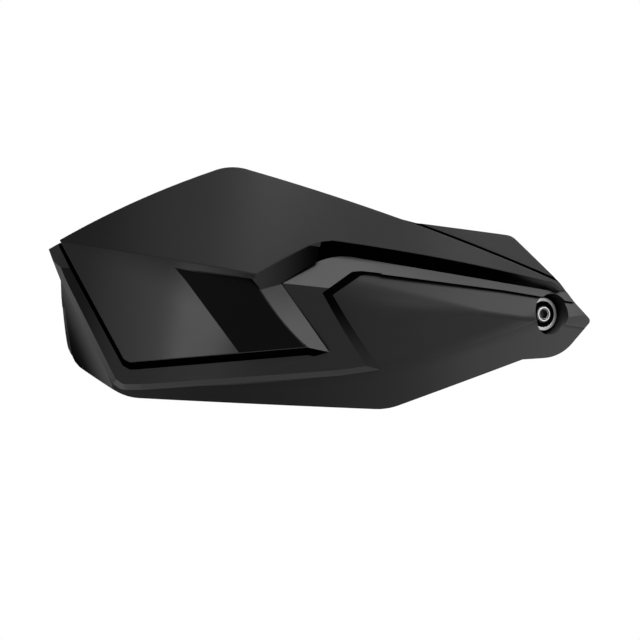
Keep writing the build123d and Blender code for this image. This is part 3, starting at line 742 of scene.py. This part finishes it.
@dataclass
class Skin:
    """A merged copy of a solid with rounded edges and true surface directions."""

    node: str
    edge_mm: float = 0.3
    accents: tuple[Accent, ...] = ()
    segments: int = 3
    crease_degrees: float = 6.0
    least_area: float = 40.0
    merge_mm: float = 0.001
    tries: int = 6
    clearance: float = 2.0

    def patches(self, grid: Grid, layer: Layer) -> dict[int, Patch]:
        """Number the solid's smooth faces, whose triangles share corners, and fit each one.

        Args:
            grid: The copy, before its corners are merged.
            layer: Its layer of face numbers, still empty.

        Returns:
            The smooth faces by number.
        """
        found: dict[int, Patch] = {}
        for start in grid.faces:
            if start[layer]:
                continue
            number = len(found) + 1
            start[layer] = number
            members = [start]
            for face in members:
                for other in (one for vert in face.verts for one in vert.link_faces):
                    if not other[layer]:
                        other[layer] = number
                        members.append(other)
            found[number] = Patch.fit(members)
        return found

    def creases(self, grid: Grid, layer: Layer, patches: dict[int, Patch]) -> list[bmesh.types.BMEdge]:
        """The edges between large smooth faces that meet at an angle.

        Args:
            grid: The merged copy.
            layer: Its layer of face numbers.
            patches: Its smooth faces.

        Returns:
            The edges.
        """
        least = self.least_area * MM * MM
        limit = math.radians(self.crease_degrees)
        found = []
        for edge in grid.edges:
            numbers = [face[layer] for face in edge.link_faces]
            if len(set(numbers)) < 2 or min(patches[number].area for number in numbers) < least:
                continue
            middle = (edge.verts[0].co + edge.verts[1].co) / 2
            turns = [patches[face[layer]].direction(middle, face.normal) for face in edge.link_faces]
            if turns[0].angle(turns[1]) > limit:
                found.append(edge)
        return found

    def rounded(self, grid: Grid, layer: Layer, patches: dict[int, Patch]) -> Grid:
        """Round the creases, except where the rounding would leave the surface.

        Args:
            grid: The merged copy.
            layer: Its layer of face numbers.
            patches: Its smooth faces.

        Returns:
            A new mesh, whose rounded faces have the number 0.
        """
        surface = BVHTree.FromBMesh(grid)
        creases = self.creases(grid, layer, patches)
        reach = self.edge_mm * MM
        for turn in range(self.tries):
            trial = grid.copy()
            trial.edges.ensure_lookup_table()
            made = bmesh.ops.bevel(
                trial,
                geom=[trial.edges[edge.index] for edge in creases],
                offset=reach,
                offset_type="OFFSET",
                affect="EDGES",
                segments=self.segments,
                profile=0.5,
                clamp_overlap=False,
                material=-1,
            )
            numbers = trial.faces.layers.int["patch"]
            for face in made["faces"]:
                face[numbers] = 0
            strays = [vert.co.copy() for vert in trial.verts if surface.find_nearest(vert.co)[3] > reach]
            log.info("%s: %d creases, %d stray corners", self.node, len(creases), len(strays))
            if not strays:
                return trial
            trial.free()
            clear = self.clearance * (turn + 1) * reach
            creases = [edge for edge in creases if self.is_clear(edge, strays, clear)]
        return grid.copy()

    def is_clear(self, edge: bmesh.types.BMEdge, strays: list[Vector], reach: float) -> bool:
        """Whether both ends of an edge lie further than a reach from every stray corner."""
        return all((vert.co - stray).length > reach for vert in edge.verts for stray in strays)

    def mark(self, skin: Grid, grid: Grid, layer: Layer) -> None:
        """Give the faces of each accent their place in the list of finishes.

        Args:
            skin: The rounded mesh.
            grid: The merged copy.
            layer: The copy's layer of face numbers.
        """
        surface = BVHTree.FromBMesh(grid)
        grid.faces.ensure_lookup_table()
        own = skin.faces.layers.int["patch"]
        for place, accent in enumerate(self.accents, start=1):
            numbers = accent.numbers(surface, grid, layer)
            for face in skin.faces:
                if face[own] in numbers:
                    face.material_index = place

    def directions(self, grid: Grid, patches: dict[int, Patch]) -> list[Vector]:
        """The surface direction at every corner of every face.

        Args:
            grid: The rounded mesh.
            patches: The smooth faces.

        Returns:
            Unit vectors, in the order of the faces and their corners.
        """
        grid.normal_update()
        layer = grid.faces.layers.int["patch"]
        found = []
        for face in grid.faces:
            for vert in face.verts:
                found.append(self.corner_direction(face[layer], vert, layer, patches))
        return found

    def corner_direction(
        self, number: int, vert: bmesh.types.BMVert, layer: Layer, patches: dict[int, Patch]
    ) -> Vector:
        """The surface direction at one corner.

        Args:
            number: The number of the corner's face, 0 on a rounded edge.
            vert: The corner's vertex.
            layer: The layer of face numbers.
            patches: The smooth faces.

        Returns:
            A unit vector.
        """
        around = [face for face in vert.link_faces if face[layer]]
        total = Vector((0, 0, 0))
        if number:
            for face in around:
                if face[layer] == number:
                    total += face.normal * face.calc_area()
            return patches[number].direction(vert.co, total.normalized())
        for face in {face[layer]: face for face in around}.values():
            total += patches[face[layer]].direction(vert.co, face.normal)
        return total.normalized() if around else vert.normal.copy()

    def build(self, solid: bpy.types.Object, material: bpy.types.Material, slot: str) -> bpy.types.Object:
        """Build the piece and let it stand for its solid.

        Args:
            solid: The solid's own mesh.
            material: The finish.
            slot: The record's slot; not used.

        Returns:
            The finished piece.
        """
        grid = bmesh.new()
        grid.from_mesh(solid.data)
        layer = grid.faces.layers.int.new("patch")
        patches = self.patches(grid, layer)
        bmesh.ops.remove_doubles(grid, verts=grid.verts, dist=self.merge_mm * MM)
        grid.edges.index_update()
        skin = self.rounded(grid, layer, patches)
        for face in skin.faces:
            face.smooth = True
        self.mark(skin, grid, layer)
        directions = self.directions(skin, patches)
        mesh = bpy.data.meshes.new(f"{self.node}_skin")
        skin.to_mesh(mesh)
        skin.free()
        grid.free()
        mesh.normals_split_custom_set(directions)
        for finish in (material, *(accent.finish.material() for accent in self.accents)):
            mesh.materials.append(finish)
        piece = added(mesh.name, mesh)
        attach(piece, BODY)
        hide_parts(self.node)
        return piece


@dataclass(frozen=True)
class Softbox:
    """A soft panel of light that faces the guard.

    Its place is in degrees to the right of straight ahead and above the horizon, its width,
    height and roll are in degrees as seen from the guard, its reach is in metres, and its
    brightness is in shares of the white surroundings.
    """

    name: str
    azimuth: float
    elevation: float
    reach: float
    width: float
    height: float
    brightness: float
    roll: float = 0.0

    def build(self, aim: Vector) -> None:
        """Hang the panel so that it faces a point.

        Args:
            aim: The point, in metres.
        """
        data = bpy.data.lights.new(self.name, "AREA")
        data.shape = "RECTANGLE"
        data.size = 2 * self.reach * math.tan(math.radians(self.width / 2))
        data.size_y = 2 * self.reach * math.tan(math.radians(self.height / 2))
        data.energy = self.brightness * math.pi * data.size * data.size_y
        turn, lift = math.radians(self.azimuth), math.radians(self.elevation)
        level = math.cos(lift)
        away = Vector((math.sin(turn) * level, -math.cos(turn) * level, math.sin(lift)))
        lamp = added(self.name, data)
        lamp.location = aim + away * self.reach
        facing = (-away).to_track_quat("-Z", "Y")
        lamp.rotation_euler = (facing @ Quaternion((0, 0, 1), math.radians(self.roll))).to_euler()
        lamp.visible_camera = False


@dataclass
class Studio:
    """Floor, soft light, pale surroundings and the camera, with lengths in millimetres."""

    view_x: float = 102.86
    view_y: float = -90.0
    view_z: float = -3.43
    distance: float = 2000.0
    pixels: float = 640.0
    pixels_per_mm: float = 1.75
    sensor: float = 36.0
    sight: float = 50000.0
    floor_z: float = -900.0
    floor_radius: float = 4000.0
    floor_sides: int = 96
    floor_tones: tuple[float, float] = (0.8, 0.83)
    floor_roughness: float = 0.9
    floor_cloud: float = 120.0
    floor_near: float = 500.0
    floor_far: float = 2400.0
    surround: float = 0.12
    panels: tuple[Softbox, ...] = (
        Softbox("key_left", 25, 43, 1.6, 46, 12, 9.4, -8),
        Softbox("key_right", 73, 26, 1.6, 38, 12, 8.8, -32),
        Softbox("right_fill", 54, 19, 1.6, 20, 14, 1.7),
        Softbox("front_top", -16, 37, 1.6, 40, 18, 0.65),
        Softbox("front_right", 33, 6, 1.6, 12, 12, 5.0),
        Softbox("low_front", 30, -22, 1.5, 60, 14, 0.35),
        Softbox("low_left", -21, -14, 1.3, 15, 12, 3.2),
        Softbox("far_left", -38, -11, 1.4, 26, 16, 0.6),
        Softbox("right_side", 88, -33, 1.1, 46, 32, 1.5),
        Softbox("left_rim", -98, -50, 0.9, 34, 30, 1.9),
        Softbox("left_fin", -104, -10, 1.2, 16, 24, 1.6),
        Softbox("under", 180, -82, 0.8, 40, 24, 1.2),
        Softbox("rear_left", -140, 55, 1.8, 36, 30, 1.3),
        Softbox("rear_right", 155, 30, 1.8, 42, 30, 1.4),
    )

    def camera(self) -> None:
        """Look straight at the front of the guard."""
        data = bpy.data.cameras.new("front_view")
        data.sensor_width = self.sensor
        data.lens = self.sensor * self.distance * self.pixels_per_mm / self.pixels
        data.clip_end = self.sight * MM
        camera = added("front_view", data)
        camera.location = Vector((self.view_x, self.view_y - self.distance, self.view_z)) * MM
        camera.rotation_euler = (math.radians(90), 0, 0)
        bpy.context.scene.camera = camera

    def surroundings(self) -> None:
        """White all round to the eye and in reflections, and a soft grey as light."""
        shader = Shader(bpy.data.worlds.new("surroundings"))
        dim = shader.node("ShaderNodeBackground", inputs={"Color": (*(self.surround,) * 3, 1.0)})
        white = shader.node("ShaderNodeBackground", inputs={"Color": (1.0, 1.0, 1.0, 1.0)})
        whole = shader.seen().larger(shader.mirrored())
        bpy.context.scene.world = shader.close(shader.layered(whole, dim, white))

    def floor_material(self) -> bpy.types.Material:
        """A pale floor that runs out into the white surroundings.

        Returns:
            The finished material.
        """
        shader = Shader.material("pale_floor")
        low, high = self.floor_tones
        tone = shader.blend(shader.noise(self.floor_cloud), (low,) * 3, (high,) * 3)
        pale = shader.surface(Base_Color=tone, Roughness=self.floor_roughness)
        white = shader.node("ShaderNodeEmission", inputs={"Color": (1.0, 1.0, 1.0, 1.0)})
        x = shader.along(OUTBOARD) - self.view_x
        y = shader.along(REARWARD) - self.view_y
        fade = (x * x + y * y).math("SQRT").step(self.floor_near, self.floor_far)
        share = (fade * shader.seen()).larger(shader.mirrored())
        return shader.close(shader.layered(share, pale, white))

    def floor(self) -> None:
        """Lay the floor well below the guard."""
        grid = bmesh.new()
        radius = self.floor_radius * MM
        bmesh.ops.create_circle(grid, cap_ends=True, segments=self.floor_sides, radius=radius)
        place = Vector((self.view_x, self.view_y, self.floor_z)) * MM
        bmesh.ops.translate(grid, verts=grid.verts, vec=place)
        mesh = bpy.data.meshes.new("floor")
        grid.to_mesh(mesh)
        grid.free()
        mesh.materials.append(self.floor_material())
        floor = added("floor", mesh)

    def build(self) -> None:
        """Set up the whole studio."""
        bpy.context.scene.view_settings.view_transform = "Standard"
        self.camera()
        self.surroundings()
        self.floor()
        aim = Vector((self.view_x, self.view_y, self.view_z)) * MM
        for panel in self.panels:
            panel.build(aim)


@dataclass(frozen=True)
class Spindle:
    """A place on the axis of a turned detail and the way it faces, in millimetres."""

    start: Triple
    facing: Triple

    def matrix(self) -> Matrix:
        """Carry a shape that stands on the ground along Z to the spindle, in metres."""
        turn = Vector(self.facing).to_track_quat("Z", "Y").to_matrix().to_4x4()
        return Matrix.Translation(Vector(self.start) * MM) @ turn @ Matrix.Scale(MM, 4)


@dataclass
class Detail:
    """A small turned detail that is added to a fastener."""

    name: str
    spindle: Spindle
    radius: float

    def shape(self, grid: Grid) -> None:
        """Make the shape in millimetres, standing on the ground along Z."""
        raise NotImplementedError

    def build(self, material: bpy.types.Material, slot: str) -> bpy.types.Object:
        """Build the detail in its place.

        Args:
            material: The finish.
            slot: The record's slot; not used.

        Returns:
            The finished piece.
        """
        grid = bmesh.new()
        self.shape(grid)
        bmesh.ops.transform(grid, matrix=self.spindle.matrix(), verts=grid.verts)
        bmesh.ops.recalc_face_normals(grid, faces=grid.faces)
        mesh = bpy.data.meshes.new(self.name)
        grid.to_mesh(mesh)
        grid.free()
        mesh.materials.append(material)
        piece = added(self.name, mesh)
        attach(piece, BODY)
        log.info("%s: %d faces", piece.name, len(mesh.polygons))
        return piece


@dataclass
class ThreadEnd(Detail):
    """The thread on the end of a bolt that stands out of its nut."""

    pitch: float = 1.0
    length: float = 0.9
    depth: float = 0.12
    steps_per_turn: int = 32

    def shape(self, grid: Grid) -> None:
        """Wind a small ridge round the shank.

        Args:
            grid: The mesh to fill.
        """
        turns = self.length / self.pitch
        steps = round(turns * self.steps_per_turn)
        bmesh.ops.create_circle(grid, cap_ends=True, segments=3, radius=self.depth)
        upright = Matrix.Rotation(math.radians(90), 4, "X")
        place = Matrix.Translation((self.radius, 0, 2 * self.depth))
        bmesh.ops.transform(grid, matrix=place @ upright, verts=grid.verts)
        bmesh.ops.spin(
            grid,
            geom=grid.verts[:] + grid.edges[:] + grid.faces[:],
            cent=(0, 0, 0),
            axis=(0, 0, 1),
            dvec=(0, 0, self.pitch / self.steps_per_turn),
            angle=turns * math.tau,
            steps=steps,
            use_merge=False,
        )


@dataclass
class InsertRing(Detail):
    """The nylon ring in the collar of a lock nut."""

    bore: float = 3.0
    height: float = 0.3
    segments: int = 64

    def shape(self, grid: Grid) -> None:
        """Spin the ring's section round the bolt.

        Args:
            grid: The mesh to fill.
        """
        made = bmesh.ops.create_grid(grid, x_segments=1, y_segments=1, size=0.5)
        width = self.radius - self.bore
        size = Matrix.Diagonal((width, self.height, 1.0, 1.0))
        upright = Matrix.Rotation(math.radians(90), 4, "X")
        place = Matrix.Translation(((self.radius + self.bore) / 2, 0, 0))
        bmesh.ops.transform(grid, matrix=place @ upright @ size, verts=made["verts"])
        bmesh.ops.delete(grid, geom=grid.faces[:], context="FACES_ONLY")
        bmesh.ops.spin(
            grid,
            geom=grid.verts[:] + grid.edges[:],
            cent=(0, 0, 0),
            axis=(0, 0, 1),
            angle=math.tau,
            steps=self.segments,
            use_merge=True,
        )


@dataclass
class KnurledBand(Detail):
    """The fine ribs round a socket head."""

    height: float = 3.0
    ribs: int = 44
    depth: float = 0.1

    def shape(self, grid: Grid) -> None:
        """Draw the ribbed outline, inset it to a thin ring and raise that.

        Args:
            grid: The mesh to fill.
        """
        made = bmesh.ops.create_circle(grid, cap_ends=True, segments=2 * self.ribs, radius=self.radius)
        share = 1.0 + self.depth / self.radius
        bmesh.ops.scale(grid, verts=made["verts"][::2], vec=(share, share, 1.0))
        disc = grid.faces[:]
        bmesh.ops.inset_region(grid, faces=disc, thickness=2 * self.depth, use_boundary=True)
        bmesh.ops.delete(grid, geom=disc, context="FACES")
        raised = bmesh.ops.extrude_face_region(grid, geom=grid.faces[:], use_keep_orig=True)["geom"]
        corners = [part for part in raised if isinstance(part, bmesh.types.BMVert)]
        bmesh.ops.translate(grid, verts=corners, vec=(0, 0, self.height))


@dataclass
class SubAssembly:
    """Pieces of the guard that belong together."""

    frame: dict[str, object]
    finishes: dict[Slot, bpy.types.Material]

    def skins(self) -> list[Skin]:
        """The skins of its solids."""
        raise NotImplementedError

    def details(self) -> list[tuple[Slot, Detail]]:
        """The small details that are added to its solids."""
        return []

    def fine_skins(self, edge_mm: float, *nodes: str, least_area: float = 1.0) -> list[Skin]:
        """Skins with finely rounded edges.

        Args:
            edge_mm: The width of the rounding.
            nodes: The solids.
            least_area: The smallest face whose edges are rounded, in square millimetres.

        Returns:
            One skin for each solid.
        """
        return [Skin(node, edge_mm, segments=2, least_area=least_area) for node in nodes]

    def slot(self, node: str) -> Slot:
        """The record's slot of a node."""
        slots = {part["node"]: part["material_slot"] for part in self.frame["record"]["subparts"]}
        return Slot(slots[node])

    def dress(self, skin: Skin) -> bpy.types.Object:
        """Lay a skin over its solid in the finish of its slot.

        Args:
            skin: The skin.

        Returns:
            The finished piece.
        """
        slot = self.slot(skin.node)
        solid = self.frame["nodes"][skin.node]
        solid.data.materials.clear()
        solid.data.materials.append(self.finishes[slot])
        return skin.build(solid, self.finishes[slot], slot.value)

    def build(self) -> None:
        """Build every piece."""
        for skin in self.skins():
            piece = self.dress(skin)
            log.info("%s: %d faces", piece.name, len(piece.data.polygons))
        for slot, detail in self.details():
            detail.build(self.finishes[slot], slot.value)


@dataclass
class Shield(SubAssembly):
    """The moulded shield: platform, sunk panel, wing, end fin and tip recess."""

    edge_mm: float = 0.42
    groove_places: Places = ((40.0, -26.3), (-24.6, 0.0), (-43.6, 35.0), (200.0, 36.4), (115.3, 18.5))
    step_places: Places = ((112.5, 1.2),)
    spear_places: Places = ((160.0, 13.0), (160.0, -5.0), (160.0, -40.0), (253.0, -10.0))
    rail_places: Places = ((114.2, 28.4), (177.3, 19.5))
    tip_places: Places = ((253.0, 0.0),)
    wing_places: Places = ((200.0, 42.0), (140.0, 36.0), (180.0, 28.0))
    recess_places: Places = ((245.9, -0.2),)
    fin_places: Places = ((-38.0, -5.0), (-30.0, -25.0))
    ledge_places: Places = ((-37.0, 13.6),)

    def skins(self) -> list[Skin]:
        """The skins of its solids.

        Returns:
            One skin for each solid.
        """
        # Painted shade: the groove floors are dead black, standing in for the deep shadow under the
        # deflector's edges.
        groove = MouldedPlastic("groove_painted_shade", 0.0006, 0.001, specular=0.0)
        # Painted shade: the sunk panel's low wall darkens towards the top.
        step = PaintedShadePlastic("step_grain_painted_shade", specular=0.16, shade_ramps=(PaintedShadeRamp(UP, -36.0, 8.0, 0.8),))
        # Painted shade: the spear's faces darken towards their inboard end.
        spear_shade_ramp = PaintedShadeRamp(OUTBOARD, 40.0, 185.0, 0.55, 1.0)
        spear = PanelPlastic(
            "spear_grain_painted_shade", roughness=0.35, gap_mm=4.0, shade_ramps=(spear_shade_ramp,), counts_gaps=True
        )
        # Painted shade: the rail darkens towards its outboard end.
        rail_shade_ramp = PaintedShadeRamp(OUTBOARD, 100.0, 200.0, 1.0, 0.7)
        rail = PaintedShadePlastic("rail_grain_painted_shade", specular=0.265, shade_ramps=(rail_shade_ramp,), counts_gaps=True)
        # Painted light and shade: the tip recess takes a lighter grey than the plastic round it, and
        # painted shade darkens it towards the top.
        recess_shade_ramp = PaintedShadeRamp(UP, -10.0, 8.0, 1.0, 0.2)
        recess = PaintedShadePlastic(
            "recess_painted_light_and_shade", 0.046, 0.058, gap_mm=3.0, gap_low=0.1, glancing_shade_share=0.0,
            shade_ramps=(recess_shade_ramp,), counts_gaps=True,
        )
        # Painted shade: the end fin darkens towards the rear.
        fin = PaintedShadePlastic("fin_grain_painted_shade", shade_ramps=(PaintedShadeRamp(REARWARD, -82.0, -58.0, 1.0, 0.15),))
        # Painted shade: the ledge darkens towards its inboard end.
        ledge_shade_ramp = PaintedShadeRamp(OUTBOARD, -36.0, -12.0, 0.4, 0.88)
        ledge = PaintedShadePlastic("ledge_grain_painted_shade", shade_ramps=(ledge_shade_ramp,), counts_gaps=True)
        accents = (
            Accent(groove, self.groove_places),
            Accent(step, self.step_places),
            Accent(spear, self.spear_places),
            Accent(rail, self.rail_places),
            Accent(MouldedPlastic("tip_grain", gap_mm=2.0), self.tip_places),
            Accent(WingPlastic("wing_grain_painted_shade"), self.wing_places),
            Accent(recess, self.recess_places),
            Accent(fin, self.fin_places),
            Accent(ledge, self.ledge_places),
        )
        return [Skin("shield", self.edge_mm, accents)]


@dataclass
class Deflector(SubAssembly):
    """The air deflector: satin visor, polished cheek and scoop, darkened in places by painted shade, and
    its screws from behind.
    """

    edge_mm: float = 0.42
    small_edge_mm: float = 0.12
    cheek_slant: Triple = (0.45, 0.0, 0.9)
    cheek_places: Places = ((-10.0, 10.0),)
    scoop_places: Places = ((60.0, 5.0),)
    wall_places: Places = ((91.6, -6.3), (77.4, 7.9))
    brow_places: Places = ((80.2, 26.0), (91.6, 32.7))

    def skins(self) -> list[Skin]:
        """The skins of its solids.

        Returns:
            One skin for each solid.
        """
        # Painted shade: the polished cheek darkens upwards along its slant and towards its inboard end.
        cheek_shade_ramps = (
            PaintedShadeRamp(self.cheek_slant, 14.0, 46.0, 1.0, 0.35),
            PaintedShadeRamp(OUTBOARD, -32.0, 14.0, 0.62, 1.0),
        )
        # Painted shade: the chevron wall darkens towards the top.
        wall_shade_ramp = PaintedShadeRamp(UP, -12.0, 18.0, 1.0, 0.62)
        cheek = PaintedShadePlastic("cheek_polish_painted_shade", roughness=0.2, specular=0.31, shade_ramps=cheek_shade_ramps)
        wall = PaintedShadePlastic("wall_polish_painted_shade", roughness=0.22, specular=0.295, shade_ramps=(wall_shade_ramp,))
        # Painted shade: the brow goes dead black towards its outboard end.
        brow = PaintedShadePlastic("brow_grain_painted_shade", shade_ramps=(PaintedShadeRamp(OUTBOARD, 62.0, 104.0, 0.9),))
        accents = (
            Accent(cheek, self.cheek_places),
            # Painted shade: the scoop takes a darker, less reflective plastic than the rest of the
            # deflector.
            Accent(MouldedPlastic("scoop_painted_shade", 0.0012, 0.0022, 0.4, 0.035), self.scoop_places),
            Accent(wall, self.wall_places),
            Accent(brow, self.brow_places),
        )
        small = self.fine_skins(self.small_edge_mm, "deflector_screws", "deflector_washers")
        return [Skin("deflector", self.edge_mm, accents), *small]


@dataclass
class TipFixing(SubAssembly):
    """The bolt at the tip with its cup, seal and lock nut."""

    edge_mm: float = 0.12
    seat: Triple = (230.2, -44.2, 0.0)
    outward: Triple = (0.515038, -0.857167, 0.0)
    socket_places: Places = ((233.5, 3.4), (232.0, 0.0))
    head_base: float = 2.3
    head_radius: float = 4.7
    knurl_height: float = 3.5
    nut_end: float = -16.1
    collar_radius: float = 4.1
    shank_radius: float = 3.0

    def at(self, height: float, facing: float = 1.0) -> Spindle:
        """A place on the bolt's axis at a height over the seat."""
        place = Vector(self.seat) + Vector(self.outward) * height
        return Spindle(tuple(place), tuple(Vector(self.outward) * facing))

    def skins(self) -> list[Skin]:
        """The skins of its solids.

        Returns:
            One skin for each solid.
        """
        # Painted shade round the socket, and painted highlight: the head's top takes a lighter tone than
        # the rest of the plating.
        face = SocketMetal(
            "tip_socket_painted_shade_and_highlight", (0.78, 0.78, 0.77), recess_share=0.03, centre=self.seat, facing=self.outward
        )
        accents = (Accent(face, self.socket_places),)
        bolt, *others = self.fine_skins(
            self.edge_mm, "tip_bolt", "tip_cup_washer", "tip_seal_washer", "tip_nut"
        )
        return [replace(bolt, accents=accents), *others]

    def details(self) -> list[tuple[Slot, Detail]]:
        """The small details that are added to its solids.

        Returns:
            Each detail with its slot.
        """
        end = self.at(self.nut_end, -1.0)
        head = self.at(self.head_base)
        return [
            (Slot.ZINC, KnurledBand("tip_bolt_knurl", head, self.head_radius, self.knurl_height)),
            (Slot.SEAL, InsertRing("tip_nut_insert", end, self.collar_radius, self.shank_radius)),
            (Slot.ZINC, ThreadEnd("tip_bolt_thread", end, self.shank_radius)),
        ]


@dataclass
class ArmFixing(SubAssembly):
    """The two bolts that hold the shield on the arm, with washers and lock nuts."""

    edge_mm: float = 0.12
    places_x: tuple[float, ...] = (54.0, 80.0)
    nut_end_y: float = -73.4
    collar_radius: float = 4.1
    shank_radius: float = 3.0

    def skins(self) -> list[Skin]:
        """The skins of its solids."""
        return self.fine_skins(self.edge_mm, "shield_bolts", "shield_washers", "shield_nuts")

    def details(self) -> list[tuple[Slot, Detail]]:
        """The small details that are added to its solids.

        Returns:
            Each detail with its slot.
        """
        found: list[tuple[Slot, Detail]] = []
        for number, x in enumerate(self.places_x, start=1):
            end = Spindle((x, self.nut_end_y, 0.0), REARWARD)
            ring = InsertRing(f"shield_nut_insert_{number}", end, self.collar_radius, self.shank_radius)
            found.append((Slot.SEAL, ring))
            found.append((Slot.BLACK, ThreadEnd(f"shield_bolt_thread_{number}", end, self.shank_radius)))
        return found


@dataclass
class SupportArm(SubAssembly):
    """The bent flat bar that carries the shield."""

    edge_mm: float = 0.3

    def skins(self) -> list[Skin]:
        """The skins of its solids."""
        return self.fine_skins(self.edge_mm, "support_arm", least_area=20.0)


@dataclass
class BarClamp(SubAssembly):
    """The handlebar clamp with its screws and the pivot of the arm."""

    body_edge_mm: float = 0.25
    small_edge_mm: float = 0.12
    screw_seat_y: float = 8.0
    screw_z: float = 20.5
    head_radius: float = 5.0
    knurl_height: float = 5.0
    nut_end_x: float = -22.6
    pivot_y: float = -30.0
    collar_radius: float = 5.4
    shank_radius: float = 4.0
    pitch: float = 1.25

    def skins(self) -> list[Skin]:
        """The skins of its solids.

        Returns:
            One skin for each solid.
        """
        halves = self.fine_skins(self.body_edge_mm, "clamp_body", "clamp_cap", least_area=20.0)
        small = ("clamp_bolts", "pivot_bolt", "pivot_washers", "pivot_nut")
        return halves + self.fine_skins(self.small_edge_mm, *small)

    def details(self) -> list[tuple[Slot, Detail]]:
        """The small details that are added to its solids.

        Returns:
            Each detail with its slot.
        """
        end = Spindle((self.nut_end_x, self.pivot_y, 0.0), INBOARD)
        found: list[tuple[Slot, Detail]] = [
            (Slot.SEAL, InsertRing("pivot_nut_insert", end, self.collar_radius, self.shank_radius)),
            (Slot.ZINC, ThreadEnd("pivot_bolt_thread", end, self.shank_radius, self.pitch)),
        ]
        for name, z in (("lower", -self.screw_z), ("upper", self.screw_z)):
            seat = Spindle((0.0, self.screw_seat_y, z), REARWARD)
            band = KnurledBand(f"clamp_bolt_knurl_{name}", seat, self.head_radius, self.knurl_height)
            found.append((Slot.ZINC, band))
        return found


@dataclass
class BarEnd(SubAssembly):
    """The expander in the end of the handlebar, with spacer, washer and bolt."""

    edge_mm: float = 0.12
    cone_end_x: float = 193.0
    shank_radius: float = 4.0
    pitch: float = 1.25

    def skins(self) -> list[Skin]:
        """The skins of its solids."""
        nodes = ("expander_sleeve", "expander_cone", "bar_end_spacer", "bar_end_washer", "bar_end_bolt")
        return self.fine_skins(self.edge_mm, *nodes)

    def details(self) -> list[tuple[Slot, Detail]]:
        """The small details that are added to its solids."""
        end = Spindle((self.cone_end_x, 0.0, 0.0), INBOARD)
        return [(Slot.ZINC, ThreadEnd("bar_end_bolt_thread", end, self.shank_radius, self.pitch))]


@dataclass
class Guard:
    """The whole guard, made of its sub-assemblies."""

    frame: dict[str, object]

    def build(self) -> None:
        """Build every sub-assembly."""
        finishes = {slot: slot.finish().material() for slot in Slot}
        for kind in (Shield, Deflector, TipFixing, ArmFixing, SupportArm, BarClamp, BarEnd):
            log.info("%s", kind.__name__)
            kind(self.frame, finishes).build()


def main() -> None:
    """Dress the guard and light it."""
    logging.basicConfig(level=logging.INFO, format="%(message)s")
    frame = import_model()
    Guard(frame).build()
    Studio().build()


if __name__ == "__main__":
    main()
